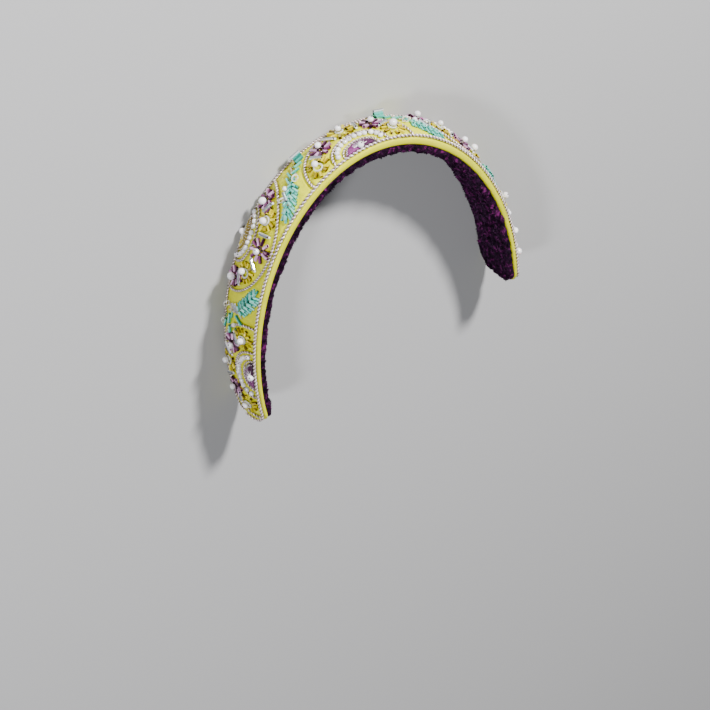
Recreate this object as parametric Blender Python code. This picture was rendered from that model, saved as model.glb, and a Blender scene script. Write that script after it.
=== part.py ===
# Embroidered headband: a padded satin arch with a velvet lining, metallic cords, pearls and bead flowers.
# It lies on its back edge. X runs from ear to ear, Y from the ends to the crown and Z from the back edge
# to the front edge. Places on the band are given as (along, across): along the arch from the crown,
# positive to the wearer's left, and across it from the front edge. All sizes are in metres.

import bisect
import math

import bmesh
import bpy
from mathutils import Vector

SPAN = 0.133               # widest outside width, ear to ear
RISE = 0.117               # from the ends to the crown, outside
LEG = 0.015                # nearly straight stretch above each end
END_PINCH = 0.001          # how far each end stands inside the widest place
WIDTH_CROWN = 0.0265       # width of the band at the crown
WIDTH_END = 0.0245         # width of the band at its ends
LEAN = math.radians(16.0)  # inward lean of the back edge at the crown
PAD_RISE = 0.003           # how far the padding bulges over the two edges
WALL_CROWN = 0.0034        # thickness of the satin edge at the crown
WALL_END = 0.0014          # thickness of the satin edge at the ends
EDGE_ROUND = 0.0005        # rounding along the satin edges
FRONT_CORNER = 0.006       # corner radius of each end, front edge
BACK_CORNER = 0.008        # corner radius of each end, back edge
LINING_CROWN = 0.0034      # thickness of the velvet with its pile at the crown
LINING_END = 0.0019        # thickness of the velvet with its pile at the ends
LINING_INSET = 0.0008      # how far the lining stays inside the satin outline
CLEARANCE = 0.0003         # gap between pieces that touch on the real band

FRONT_CORD = 0.0014        # diameters of the cords
BACK_CORD = 0.0011
PANEL_CORD = 0.0012
SCALLOP_CORD = 0.0012
MOON_CORD = 0.0009
FRONT_CORD_INSET = 0.0008  # cord centre from the front edge
BACK_CORD_INSET = 0.0017   # cord centre from the back edge, high enough to clear the floor

PANEL_REACH = 0.0252       # half length of a panel along the band
END_MARGIN = 0.0038        # from the last panel to the end of the band
MOON_REACH = 0.0073        # half length of an embroidered half-moon
MOON_DEPTH = 0.18          # its depth, as a share of the field across the band
MOON_RISE = 0.0012         # height of the padded stitches
ROW_GAP = 0.036            # space beside the pearls, as a share of the field
ROW_PEARL = 0.0021         # diameter of the pearls in a row
MOON_PEARL = 0.0028        # diameter of the pearl on a half-moon
FLOWER_PEARL = 0.0029      # diameter of the pearl on a flower
FLOWER_RISE = 0.0013       # height of the bugle petals
FLOWER_CUP = 0.0005        # height of the ring that holds the pearl over the petals
FLOWER_FILL = 0.9          # share of the free space round a flower that its petals fill
PETALS = 10
LEAF_REACH = 0.0036        # half width of a leaf spray at its widest
LEAF_RISE = 0.0016         # height of the leaves over the satin
LEAF_ENDS = (0.08, 0.86)   # where a spray starts and ends, as shares of the field
LEAF_SKEW = 0.0045         # how far its ends lean along the band, away from the middle of the plain field

BAND_SEGMENTS = 45         # odd, so that a flat facet lies at the middle of the crown
CORD_SEGMENTS = {"edge": 48, "panel": 18, "scallop": 14, "moon": 8, "pearls": 12}

# Panels from the wearer's right end to the left end, with the edge that each one stands on.
PANELS = [
    ("right_end", -2, "front"),
    ("right_side", -1, "back"),
    ("crown", 0, "front"),
    ("left_side", 1, "back"),
    ("left_end", 2, "front"),
]
# Angle of each flower round its panel, and whether it is of the panel's main colour.
FLOWER_PLACES = [(17, True), (50, False), (90, True), (130, False), (163, True)]
MAIN_COLOUR = {"front": "gold", "back": "violet"}
OTHER_COLOUR = {"gold": "violet", "violet": "gold"}
# Outline of a leaf spray: share of its length, share of LEAF_REACH to each side.
LEAF_OUTLINE = [
    (0.00, 0.20), (0.10, 0.85), (0.22, 1.00), (0.31, 0.35), (0.39, 0.95), (0.46, 0.30),
    (0.54, 0.95), (0.61, 0.30), (0.72, 1.00), (0.88, 0.70), (1.00, 0.20),
]

# Colour, roughness and metallic value of each material.
MATERIALS = {
    "satin": ((0.72, 0.70, 0.24), 0.38, 0.0),
    "velvet": ((0.05, 0.01, 0.05), 0.95, 0.0),
    "cord": ((0.62, 0.55, 0.52), 0.35, 0.8),
    "pearl": ((0.88, 0.85, 0.84), 0.22, 0.0),
    "purple_thread": ((0.42, 0.11, 0.38), 0.45, 0.0),
    "gold_thread": ((0.62, 0.50, 0.12), 0.45, 0.0),
    "gold": ((0.70, 0.58, 0.10), 0.15, 0.1),
    "violet": ((0.35, 0.08, 0.28), 0.15, 0.1),
    "aqua": ((0.30, 0.70, 0.62), 0.15, 0.1),
}
ARCH_STEPS = 240           # steps along each quarter of the arch when its length is measured


def clear_scene():
    for obj in list(bpy.data.objects):
        bpy.data.objects.remove(obj, do_unlink=True)


def arch_table():
    # Outside line of the arch as lists of length from the crown, x and y.
    half = SPAN / 2
    quarter = []
    for step in range(ARCH_STEPS):
        y = LEG * step / ARCH_STEPS
        quarter.append((half - END_PINCH * ((LEG - y) / LEG) ** 2, y))
    for step in range(ARCH_STEPS + 1):
        angle = math.pi / 2 * step / ARCH_STEPS
        quarter.append((half * math.cos(angle), LEG + (RISE - LEG) * math.sin(angle)))
    points = [(-x, y) for x, y in quarter] + [(x, y) for x, y in reversed(quarter[:-1])]
    lengths = [0.0]
    for a, b in zip(points, points[1:]):
        lengths.append(lengths[-1] + math.dist(a, b))
    middle = lengths[-1] / 2
    return [value - middle for value in lengths], points


LENGTHS, LINE = arch_table()
HALF_LENGTH = LENGTHS[-1]
PANEL_PITCH = (HALF_LENGTH - END_MARGIN - PANEL_REACH) / 2   # from one panel's centre to the next
NORMAL_STEP = 0.0004       # half of the stretch over which the arch's direction is read


def line_at(along):
    index = min(max(bisect.bisect(LENGTHS, along), 1), len(LENGTHS) - 1)
    share = (along - LENGTHS[index - 1]) / (LENGTHS[index] - LENGTHS[index - 1])
    (x0, y0), (x1, y1) = LINE[index - 1], LINE[index]
    return x0 + (x1 - x0) * share, y0 + (y1 - y0) * share


def arch_at(along):
    # Point on the outside line and the direction that points away from the head.
    x, y = line_at(along)
    x0, y0 = line_at(along - NORMAL_STEP)
    x1, y1 = line_at(along + NORMAL_STEP)
    length = math.hypot(x1 - x0, y1 - y0)
    return x, y, -(y1 - y0) / length, (x1 - x0) / length


def width_at(along):
    # The width follows the height of the arch, so that the back edge lies in one plane.
    return WIDTH_END + (WIDTH_CROWN - WIDTH_END) * line_at(along)[1] / RISE


def wall_at(along):
    return WALL_END + (WALL_CROWN - WALL_END) * line_at(along)[1] / RISE


def lining_at(along):
    return LINING_END + (LINING_CROWN - LINING_END) * line_at(along)[1] / RISE


def lean_at(along):
    # Inward slope of the band across its width: full at the crown, none at the sides.
    return math.sin(LEAN) * arch_at(along)[3] ** 2


def bulge(along, across):
    # Height of the satin over the outside line, with its padding and its lean, and its slope.
    width = width_at(along)
    share = across / width
    lean = lean_at(along)
    height = 4 * PAD_RISE * share * (1 - share) - lean * across
    slope = 4 * PAD_RISE * (1 - 2 * share) / width - lean
    return height, slope


def inside(along, across, depth):
    # Point at a depth under the flat of the band, measured straight towards the head.
    x, y, nx, ny = arch_at(along)
    height = -lean_at(along) * across - depth
    return Vector((x + nx * height, y + ny * height, width_at(along) - across))


def over(along, across, lift):
    # Point at a height over the satin, measured square to its surface.
    x, y, nx, ny = arch_at(along)
    height, slope = bulge(along, across)
    length = math.hypot(1, slope)
    height += lift / length
    across -= lift * slope / length
    return Vector((x + nx * height, y + ny * height, width_at(along) - across))


def front_margin():
    return FRONT_CORD_INSET + FRONT_CORD / 2 + CLEARANCE + PANEL_CORD / 2


def back_margin():
    return BACK_CORD_INSET + BACK_CORD / 2 + CLEARANCE + PANEL_CORD / 2


def field_at(along):
    # Space across the band between the centres of the outermost panel cords.
    return width_at(along) - front_margin() - back_margin()


def from_edge(along, distance, edge):
    # Place across the band that lies a distance into the field from the given edge.
    if edge == "front":
        return front_margin() + distance
    return width_at(along) - back_margin() - distance


def ring_sizes(centre):
    # Reach along the band and depth across it of each nested ring of a panel.
    field = field_at(centre)
    gap = ROW_GAP * field
    cord = CLEARANCE + MOON_CORD / 2
    pearls = cord + MOON_CORD / 2 + gap + ROW_PEARL / 2
    scallop = pearls + ROW_PEARL / 2 + gap + SCALLOP_CORD / 2
    depth = MOON_DEPTH * field
    sizes = {"moon": (MOON_REACH, depth)}
    for name, offset in (("moon_cord", cord), ("pearls", pearls), ("scallop", scallop)):
        sizes[name] = (MOON_REACH + offset, depth + offset)
    sizes["panel"] = (PANEL_REACH, field)
    return sizes


def ring_point(centre, edge, ring, angle):
    # A ring is a half ellipse that stands on one edge and narrows with the band.
    reach, depth = ring_sizes(centre)[ring]
    along = centre + reach * math.cos(angle)
    distance = depth * math.sin(angle) * field_at(along) / field_at(centre)
    return along, from_edge(along, distance, edge)


def ring_places(centre, edge, ring, segments):
    return [ring_point(centre, edge, ring, math.pi * i / segments) for i in range(segments + 1)]


def link_object(name, data, material):
    obj = bpy.data.objects.new(name, data)
    data.materials.append(bpy.data.materials[material])
    bpy.context.scene.collection.objects.link(obj)
    return obj


def add_tube(name, places, diameter, material, resolution):
    # A cord laid on the satin, as a bevelled curve with closed ends.
    curve = bpy.data.curves.new(name, "CURVE")
    curve.dimensions = "3D"
    curve.bevel_depth = diameter / 2
    curve.bevel_resolution = resolution
    curve.use_fill_caps = True
    spline = curve.splines.new("POLY")
    spline.points.add(len(places) - 1)
    for point, (along, across) in zip(spline.points, places):
        point.co = (*over(along, across, CLEARANCE + diameter / 2), 1.0)
    return link_object(name, curve, material)


def finish_mesh(name, bm, material, smooth_angle=40.0):
    bmesh.ops.recalc_face_normals(bm, faces=bm.faces)
    mesh = bpy.data.meshes.new(name)
    bm.to_mesh(mesh)
    bm.free()
    mesh.shade_smooth()
    mesh.set_sharp_from_angle(angle=math.radians(smooth_angle))
    return link_object(name, mesh, material)


def bridge(bm, first, second):
    # Faces between two closed rings of vertices; the second may have twice as many.
    count = len(first)
    twice = len(second) // count
    for i in range(count):
        a, b = first[i], first[(i + 1) % count]
        if twice == 1:
            bm.faces.new((a, b, second[(i + 1) % count], second[i]))
            continue
        c, d = second[2 * i], second[2 * i + 1]
        bm.faces.new((a, d, c))
        bm.faces.new((a, b, d))
        bm.faces.new((b, second[(2 * i + 2) % len(second)], d))


def fan(bm, centre, ring):
    for i, vert in enumerate(ring):
        bm.faces.new((centre, vert, ring[(i + 1) % len(ring)]))


def add_loft(name, rings, material):
    # A closed body through rings of points, with a flat cap at each end.
    bm = bmesh.new()
    loops = [[bm.verts.new(point) for point in ring] for ring in rings]
    for first, second in zip(loops, loops[1:]):
        bridge(bm, first, second)
    bm.faces.new(loops[0])
    bm.faces.new(loops[-1])
    return finish_mesh(name, bm, material)


def corner_cut(distance, radius):
    # How far a rounded corner stands in at a distance from the end.
    if distance >= radius:
        return 0.0
    return radius - math.sqrt(max(radius ** 2 - (radius - distance) ** 2, 0.0))


def band_stations():
    # Places along the arch where the band has a section, closer together at the rounded ends.
    inner = HALF_LENGTH - BACK_CORNER
    middle = [-inner + 2 * inner * i / BAND_SEGMENTS for i in range(BAND_SEGMENTS + 1)]
    ends = [HALF_LENGTH - BACK_CORNER * share for share in (0.0, 0.06, 0.18, 0.38, 0.66)]
    return [-value for value in ends] + middle + list(reversed(ends))


def edges_at(along, inset):
    # Front and back limits across the band of an outline that stands inside the satin's.
    distance = max(HALF_LENGTH - inset - abs(along), 0.0)
    front = inset + corner_cut(distance, FRONT_CORNER - inset)
    back = width_at(along) - inset - corner_cut(distance, BACK_CORNER - inset)
    return front, back


def add_satin_band():
    rings = []
    for along in band_stations():
        front, back = edges_at(along, 0.0)
        wall = wall_at(along)
        first, last = front + EDGE_ROUND, back - EDGE_ROUND
        ring = [over(along, first + (last - first) * share, 0.0) for share in (0, 0.2, 0.4, 0.6, 0.8, 1)]
        ring += [inside(along, back, EDGE_ROUND), inside(along, back, wall - EDGE_ROUND)]
        ring += [inside(along, last, wall), inside(along, first, wall)]
        ring += [inside(along, front, wall - EDGE_ROUND), inside(along, front, EDGE_ROUND)]
        rings.append(ring)
    return add_loft("satin_band", rings, "satin")


def add_velvet_lining():
    rings = []
    last_station = HALF_LENGTH - LINING_INSET
    for along in band_stations():
        along = max(-last_station, min(last_station, along))
        if rings and abs(along - previous) < CLEARANCE:
            continue
        previous = along
        front, back = edges_at(along, LINING_INSET)
        top = wall_at(along) + CLEARANCE
        low = top + lining_at(along)
        round_off = (low - top) / 4
        ring = [inside(along, front, top), inside(along, (front + back) / 2, top), inside(along, back, top)]
        ring += [inside(along, back, low - round_off), inside(along, back - round_off, low)]
        ring += [inside(along, front + round_off, low), inside(along, front, low - round_off)]
        rings.append(ring)
    return add_loft("velvet_lining", rings, "velvet")


def edge_places(edge, inset, diameter):
    # Route of an edge cord: from the middle of one end, round the corner, along the edge and back.
    corner = FRONT_CORNER if edge == "front" else BACK_CORNER
    radius = corner - inset
    tip = HALF_LENGTH - inset
    middle = width_at(HALF_LENGTH) / 2
    side = -1 if edge == "front" else 1
    start = middle + side * (diameter / 2 + CLEARANCE)
    half = [(tip, start)]
    for step in range(5):
        angle = math.pi / 2 * step / 4
        along = tip - radius + radius * math.cos(angle)
        edge_line = 0.0 if edge == "front" else width_at(along)
        half.append((along, edge_line - side * (corner - radius * math.sin(angle))))
    straight = tip - radius
    segments = CORD_SEGMENTS["edge"]
    for step in range(1, segments // 2 + 1):
        along = straight * (1 - 2 * step / segments)
        edge_line = 0.0 if edge == "front" else width_at(along)
        half.append((along, edge_line - side * inset))
    return half + [(-along, across) for along, across in reversed(half[:-1])]


def add_half_moon(name, centre, edge):
    # Padded half-round of stitches with a pearl at the middle of its straight side.
    sides = 14
    reach, depth = ring_sizes(centre)["moon"]
    pearl = MOON_PEARL / 2
    sunk = MOON_RISE + pearl * 0.8
    levels = [
        (0.0, 0.0, sunk + pearl), (0.0, pearl * 0.75, sunk + pearl * 0.66), (0.0, pearl, sunk),
        (0.0, pearl * 0.7, MOON_RISE), (0.6, 0.0, MOON_RISE), (1.0, 0.0, MOON_RISE * 0.55),
        (1.0, 0.0, CLEARANCE), (0.0, 0.0, CLEARANCE),
    ]
    bm = bmesh.new()
    loops = []
    for share, radius, lift in levels:
        ring = []
        for i in range(sides if share or radius else 1):
            angle = 2 * math.pi * i / sides
            ring.append(bm.verts.new(moon_point(centre, edge, reach, depth, angle, share, radius, lift)))
        loops.append(ring)
    fan(bm, loops[0][0], loops[1])
    for first, second in zip(loops[1:-2], loops[2:-1]):
        bridge(bm, first, second)
    fan(bm, loops[-1][0], loops[-2])
    return finish_mesh(name, bm, "purple_thread" if edge == "front" else "gold_thread")


def moon_point(centre, edge, reach, depth, angle, share, radius, lift):
    # Between the pearl's circle (share 0) and the half-moon's outline (share 1).
    seat = MOON_PEARL / 2
    outline = (reach * math.cos(angle), depth * math.sin(angle) if angle <= math.pi else 0.0)
    along = outline[0] * share + radius * math.cos(angle)
    distance = outline[1] * share + (seat + radius * math.sin(angle)) * (1 - share)
    return over(centre + along, from_edge(centre + along, distance, edge), lift)


def route_distance(place, places):
    # Shortest distance from a place to a route on the flat-laid band.
    best = 1.0
    for a, b in zip(places, places[1:]):
        span = (b[0] - a[0], b[1] - a[1])
        length = span[0] ** 2 + span[1] ** 2
        share = ((place[0] - a[0]) * span[0] + (place[1] - a[1]) * span[1]) / length
        share = min(max(share, 0.0), 1.0)
        best = min(best, math.dist(place, (a[0] + span[0] * share, a[1] + span[1] * share)))
    return best


def flower_places(centre, edge):
    # Centre of each flower, midway between the scallop cord and the panel cord.
    sizes = ring_sizes(centre)
    reach = (sizes["scallop"][0] + sizes["panel"][0]) / 2
    depth = (sizes["scallop"][1] + sizes["panel"][1]) / 2
    places = []
    for degrees, _ in FLOWER_PLACES:
        angle = math.radians(degrees)
        along = centre + reach * math.cos(angle)
        distance = depth * math.sin(angle) * field_at(along) / field_at(centre)
        places.append((along, from_edge(along, distance, edge)))
    return places


def flower_radius(index, places, centre, edge):
    # A flower fills the space that the cords and its neighbours leave round its centre.
    place = places[index]
    room = route_distance(place, ring_places(centre, edge, "scallop", 24)) - SCALLOP_CORD / 2
    room = min(room, route_distance(place, ring_places(centre, edge, "panel", 24)) - PANEL_CORD / 2)
    margin = from_edge(place[0], -PANEL_CORD / 2, edge)
    room = min(room, abs(place[1] - margin))
    for other in places[max(index - 1, 0):index] + places[index + 1:index + 2]:
        room = min(room, math.dist(place, other) / 2)
    return room * FLOWER_FILL


def add_flower(name, place, radius, material):
    # Bugle petals in a ring, with the pearl seated over their middle.
    along, across = place
    pearl = FLOWER_PEARL / 2
    cup = CLEARANCE + FLOWER_RISE + FLOWER_CUP
    height = cup + pearl * 0.8
    bm = bmesh.new()

    def ring(count, lift, size, valley=1.0):
        verts = []
        for i in range(count):
            angle = 2 * math.pi * i / count
            reach = size * (valley if i % 2 and count > PETALS else 1.0)
            verts.append(bm.verts.new(
                over(along + reach * math.cos(angle), across + reach * math.sin(angle), lift)))
        return verts

    top = bm.verts.new(over(along, across, height + pearl))
    rings = [
        ring(PETALS, height + pearl * 0.66, pearl * 0.75), ring(PETALS, height, pearl),
        ring(PETALS, cup, pearl * 0.7), ring(2 * PETALS, CLEARANCE + FLOWER_RISE, radius * 0.94, 0.66),
        ring(2 * PETALS, CLEARANCE, radius, 0.7),
    ]
    fan(bm, top, rings[0])
    for first, second in zip(rings, rings[1:]):
        bridge(bm, first, second)
    fan(bm, bm.verts.new(over(along, across, CLEARANCE)), rings[-1])
    return finish_mesh(name, bm, material)


def panel_limit(centre, edge, share, side):
    # Where a panel's cord stands along the band at a share of the field from the front edge.
    rise = share if edge == "front" else 1 - share
    return centre + side * PANEL_REACH * math.sqrt(max(1 - rise ** 2, 0.0))


def spray_place(panel, neighbour, share):
    # Middle of the plain field between two neighbouring panels, turned towards its free corners.
    side = 1 if neighbour[1] > panel[1] else -1
    free = side if panel[2] == "front" else -side
    first = panel_limit(panel[1] * PANEL_PITCH, panel[2], share, side)
    second = panel_limit(neighbour[1] * PANEL_PITCH, neighbour[2], share, -side)
    along = (first + second) / 2 + free * LEAF_SKEW * (1 - 2 * share)
    return along, from_edge(along, share * field_at(along), "front")


def add_leaf_spray(name, panel, neighbour):
    # A stem with bugle leaves to both sides, fused into one low body.
    low, high = LEAF_ENDS
    rings = []
    for share, reach in LEAF_OUTLINE:
        field_share = low + (high - low) * share
        along, across = spray_place(panel, neighbour, field_share)
        before = spray_place(panel, neighbour, field_share - 0.02)
        after = spray_place(panel, neighbour, field_share + 0.02)
        length = math.dist(before, after)
        side = ((before[1] - after[1]) / length, (after[0] - before[0]) / length)
        half = reach * LEAF_REACH
        left = (along - side[0] * half, across - side[1] * half)
        right = (along + side[0] * half, across + side[1] * half)
        rings.append([
            over(*left, CLEARANCE), over(along, across, CLEARANCE), over(*right, CLEARANCE),
            over(*right, LEAF_RISE * 0.6), over(along, across, LEAF_RISE), over(*left, LEAF_RISE * 0.6),
        ])
    return add_loft(name, rings, "aqua")


def add_panel(name, position, edge):
    centre = position * PANEL_PITCH
    rings = [
        ("panel_cord", "panel", "panel", PANEL_CORD, "cord", 1),
        ("scallop_cord", "scallop", "scallop", SCALLOP_CORD, "cord", 1),
        ("moon_cord", "moon_cord", "moon", MOON_CORD, "cord", 1),
        ("pearl_row", "pearls", "pearls", ROW_PEARL, "pearl", 2),
    ]
    for prefix, ring, segments, diameter, material, resolution in rings:
        places = ring_places(centre, edge, ring, CORD_SEGMENTS[segments])
        add_tube(f"{prefix}_{name}", places, diameter, material, resolution)
    add_half_moon(f"half_moon_{name}", centre, edge)
    places = flower_places(centre, edge)
    for index, (_, main) in enumerate(FLOWER_PLACES):
        colour = MAIN_COLOUR[edge] if main else OTHER_COLOUR[MAIN_COLOUR[edge]]
        radius = flower_radius(index, places, centre, edge)
        add_flower(f"flower_{name}_{index + 1}", places[index], radius, colour)


def add_materials():
    for name, (colour, roughness, metallic) in MATERIALS.items():
        material = bpy.data.materials.new(name)
        material.use_nodes = True
        shader = material.node_tree.nodes["Principled BSDF"]
        shader.inputs["Base Color"].default_value = (*colour, 1.0)
        shader.inputs["Roughness"].default_value = roughness
        shader.inputs["Metallic"].default_value = metallic


def centre_on_floor():
    # The origin lies under the middle of the whole headband, on the surface that it rests on.
    bpy.context.view_layer.update()
    graph = bpy.context.evaluated_depsgraph_get()
    low, high = Vector((1.0, 1.0, 1.0)), Vector((-1.0, -1.0, -1.0))
    for obj in bpy.context.scene.objects:
        mesh = obj.evaluated_get(graph).to_mesh()
        for vert in mesh.vertices:
            low = Vector(map(min, low, vert.co))
            high = Vector(map(max, high, vert.co))
    shift = Vector((-(low.x + high.x) / 2, -(low.y + high.y) / 2, -low.z))
    for obj in bpy.context.scene.objects:
        obj.location = shift


def main():
    clear_scene()
    add_materials()
    add_satin_band()
    add_velvet_lining()
    add_tube("front_cord", edge_places("front", FRONT_CORD_INSET, FRONT_CORD), FRONT_CORD, "cord", 1)
    add_tube("back_cord", edge_places("back", BACK_CORD_INSET, BACK_CORD), BACK_CORD, "cord", 1)
    for name, position, edge in PANELS:
        add_panel(name, position, edge)
    for panel, neighbour in zip(PANELS, PANELS[1:]):
        outer = panel[0] if panel[1] < 0 else neighbour[0]
        inner = "lower" if outer.endswith("end") else "upper"
        add_leaf_spray(f"leaf_spray_{outer.split('_')[0]}_{inner}", panel, neighbour)
    centre_on_floor()


main()
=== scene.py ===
# Looks of the embroidered headband: padded satin, velvet pile, metallic cords, pearls and bugle beads.
# A place on the band is (along, across, lift): along the arch from the crown, positive to the wearer's
# left, across it from the front edge, and lift square to the satin. Every length is in metres.
import bisect
import math
import random

import bmesh
import bpy
from mathutils import Matrix, Vector, noise


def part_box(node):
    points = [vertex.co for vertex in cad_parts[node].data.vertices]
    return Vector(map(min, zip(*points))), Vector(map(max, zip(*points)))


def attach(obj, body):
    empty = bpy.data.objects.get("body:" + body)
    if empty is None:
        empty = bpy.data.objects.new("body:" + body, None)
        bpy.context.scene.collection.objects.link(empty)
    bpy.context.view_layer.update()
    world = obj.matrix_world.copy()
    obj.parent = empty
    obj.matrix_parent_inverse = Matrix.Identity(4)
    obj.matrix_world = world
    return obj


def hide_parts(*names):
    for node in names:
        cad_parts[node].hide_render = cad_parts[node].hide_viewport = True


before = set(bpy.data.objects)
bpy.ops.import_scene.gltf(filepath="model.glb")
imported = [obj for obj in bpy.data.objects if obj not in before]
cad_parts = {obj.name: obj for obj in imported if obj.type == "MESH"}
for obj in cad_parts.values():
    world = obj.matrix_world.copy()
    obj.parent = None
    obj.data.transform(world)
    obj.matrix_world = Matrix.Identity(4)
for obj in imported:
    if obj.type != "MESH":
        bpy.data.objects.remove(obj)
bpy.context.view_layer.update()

print("frame loaded:", len(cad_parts), "nodes")

band = {
    "span": 0.133, "rise": 0.117, "leg": 0.015, "pinch": 0.001, "lean": math.radians(16.0),
    "widthCrown": 0.0265, "widthEnd": 0.0245, "wallCrown": 0.0034, "wallEnd": 0.0014,
    "liningCrown": 0.0034, "liningEnd": 0.0019, "padRise": 0.003, "frontCorner": 0.006,
    "backCorner": 0.008, "clearance": 0.0003, "steps": 240, "normalStep": 0.0004, "girth": 0.062,
    "endsY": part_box("satin_band")[0].y,      # the arch starts at the row's lowest Y
}


def archTable():
    # Outside line of the arch: lengths from the crown, and points.
    half, leg, steps = band["span"] / 2, band["leg"], band["steps"]
    quarter = []
    for step in range(steps):
        y = leg * step / steps
        quarter.append((half - band["pinch"] * ((leg - y) / leg) ** 2, y))
    for step in range(steps + 1):
        angle = math.pi / 2 * step / steps
        quarter.append((half * math.cos(angle), leg + (band["rise"] - leg) * math.sin(angle)))
    points = [(-x, y) for x, y in quarter] + [(x, y) for x, y in reversed(quarter[:-1])]
    lengths = [0.0]
    for a, b in zip(points, points[1:]):
        lengths.append(lengths[-1] + math.dist(a, b))
    middle = lengths[-1] / 2
    return [value - middle for value in lengths], points


lengths, line = archTable()
halfLength = lengths[-1]


def lineAt(along):
    index = min(max(bisect.bisect(lengths, along), 1), len(lengths) - 1)
    share = (along - lengths[index - 1]) / (lengths[index] - lengths[index - 1])
    (x0, y0), (x1, y1) = line[index - 1], line[index]
    return x0 + (x1 - x0) * share, y0 + (y1 - y0) * share


def archAt(along):
    # Point on the outside line, and the direction away from the head.
    x0, y0 = lineAt(along - band["normalStep"])
    x1, y1 = lineAt(along + band["normalStep"])
    length = math.hypot(x1 - x0, y1 - y0)
    return *lineAt(along), -(y1 - y0) / length, (x1 - x0) / length


def sizeAt(name, along):
    # A size that goes from its value at the ends to its value at the crown with the height of the arch.
    share = lineAt(along)[1] / band["rise"]
    return band[name + "End"] + (band[name + "Crown"] - band[name + "End"]) * share


def widthAt(along):
    return sizeAt("width", along)


def onSatin(along, across, lift):
    # Over the padded satin, square to it.
    x, y, nx, ny = archAt(along)
    width = band["widthEnd"] + (band["widthCrown"] - band["widthEnd"]) * y / band["rise"]
    share = across / width
    lean = math.sin(band["lean"]) * ny ** 2
    height = 4 * band["padRise"] * share * (1 - share) - lean * across
    slope = 4 * band["padRise"] * (1 - 2 * share) / width - lean
    length = math.hypot(1, slope)
    height += lift / length
    across -= lift * slope / length
    return Vector((x + nx * height, y + ny * height + band["endsY"], width - across))


def underSatin(along, across, depth):
    # Below the flat of the band, straight towards the head.
    x, y, nx, ny = archAt(along)
    height = -math.sin(band["lean"]) * ny ** 2 * across - depth
    return Vector((x + nx * height, y + ny * height + band["endsY"], widthAt(along) - across))


panels = {
    "reach": 0.0252, "endMargin": 0.0038, "moonReach": 0.0073, "moonDepth": 0.18, "rowGap": 0.036,
    "frontInset": 0.0008, "backInset": 0.0017, "flowerFill": 0.9, "base": 0.0006,
    "places": [("right_end", -2, "front"), ("right_side", -1, "back"), ("crown", 0, "front"),
               ("left_side", 1, "back"), ("left_end", 2, "front")],
    "flowers": [(17, True), (50, False), (90, True), (130, False), (163, True)],
    "mainColour": {"front": "gold", "back": "violet"},
}
cords = {  # diameters
    "front": 0.0014, "back": 0.0011, "panel": 0.0012, "scallop": 0.0012, "moon": 0.0009, "pearls": 0.0021,
}
panelPitch = (halfLength - panels["endMargin"] - panels["reach"]) / 2
frontMargin = panels["frontInset"] + cords["front"] / 2 + band["clearance"] + cords["panel"] / 2
backMargin = panels["backInset"] + cords["back"] / 2 + band["clearance"] + cords["panel"] / 2


def fieldAt(along):
    return widthAt(along) - frontMargin - backMargin


def fromEdge(along, distance, edge):
    return frontMargin + distance if edge == "front" else widthAt(along) - backMargin - distance


def ringSizes(centre):
    # Half length along the band and depth across it of each nested half ring.
    field = fieldAt(centre)
    gap = panels["rowGap"] * field
    cord = band["clearance"] + cords["moon"] / 2
    pearls = cord + cords["moon"] / 2 + gap + cords["pearls"] / 2
    scallop = pearls + cords["pearls"] / 2 + gap + cords["scallop"] / 2
    depth = panels["moonDepth"] * field
    sizes = {"half_moon": (panels["moonReach"], depth), "panel_cord": (panels["reach"], field)}
    for name, offset in (("moon_cord", cord), ("pearl_row", pearls), ("scallop_cord", scallop)):
        sizes[name] = (panels["moonReach"] + offset, depth + offset)
    return sizes


def ringPlace(centre, edge, sizes, angle, base=0.0):
    # base carries the straight side of the half ring on towards the edge cord
    along = centre + sizes[0] * math.cos(angle)
    distance = sizes[1] * math.sin(angle) * fieldAt(along) / fieldAt(centre) - base * (1 - math.sin(angle))
    return along, fromEdge(along, distance, edge)


def ringRoute(centre, edge, ring, steps=60, base=0.0):
    sizes = ringSizes(centre)[ring]
    return [ringPlace(centre, edge, sizes, math.pi * i / steps, base) for i in range(steps + 1)]


def betweenCords(centre, edge, angle, share=0.5):
    # Place between the scallop cord (share 0) and the panel cord (share 1).
    sizes = ringSizes(centre)
    middle = [a + (b - a) * share for a, b in zip(sizes["scallop_cord"], sizes["panel_cord"])]
    return ringPlace(centre, edge, middle, angle)


def edgeRoute(edge, bends=8, steps=100):
    # Route of an edge cord: from the middle of one end, round the corner and along the edge.
    front = edge == "front"
    corner, inset = band[edge + "Corner"], panels[edge + "Inset"]
    side = -1 if front else 1
    tip, radius = halfLength - inset, corner - inset
    places = []
    for step in range(bends + 1):
        angle = math.pi / 2 * step / bends
        places.append((tip - radius + radius * math.cos(angle), corner - radius * math.sin(angle)))
    places += [((tip - radius) * (1 - step / steps), inset) for step in range(1, steps + 1)]
    half = [(tip, widthAt(halfLength) / 2 + side * (cords[edge] / 2 + band["clearance"]))]
    half += [(along, (0.0 if front else widthAt(along)) - side * inward) for along, inward in places]
    return half + [(-along, across) for along, across in reversed(half[:-1])]


def evenRoute(route, step):
    # The same route in even steps, each with its direction: along, across, and the two of the direction.
    total = sum(math.dist(a, b) for a, b in zip(route, route[1:]))
    count = max(round(total / step), 2)
    places, index, passed = [], 0, 0.0
    for i in range(count + 1):
        target = total * i / count
        while index < len(route) - 2 and passed + math.dist(route[index], route[index + 1]) < target:
            passed += math.dist(route[index], route[index + 1])
            index += 1
        a, b = route[index], route[index + 1]
        length = math.dist(a, b)
        share = (target - passed) / length
        places.append((a[0] + (b[0] - a[0]) * share, a[1] + (b[1] - a[1]) * share,
                       (b[0] - a[0]) / length, (b[1] - a[1]) / length))
    return places


def newObject(name, data):
    obj = bpy.data.objects.new(name, data)
    bpy.context.scene.collection.objects.link(obj)
    return obj


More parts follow.
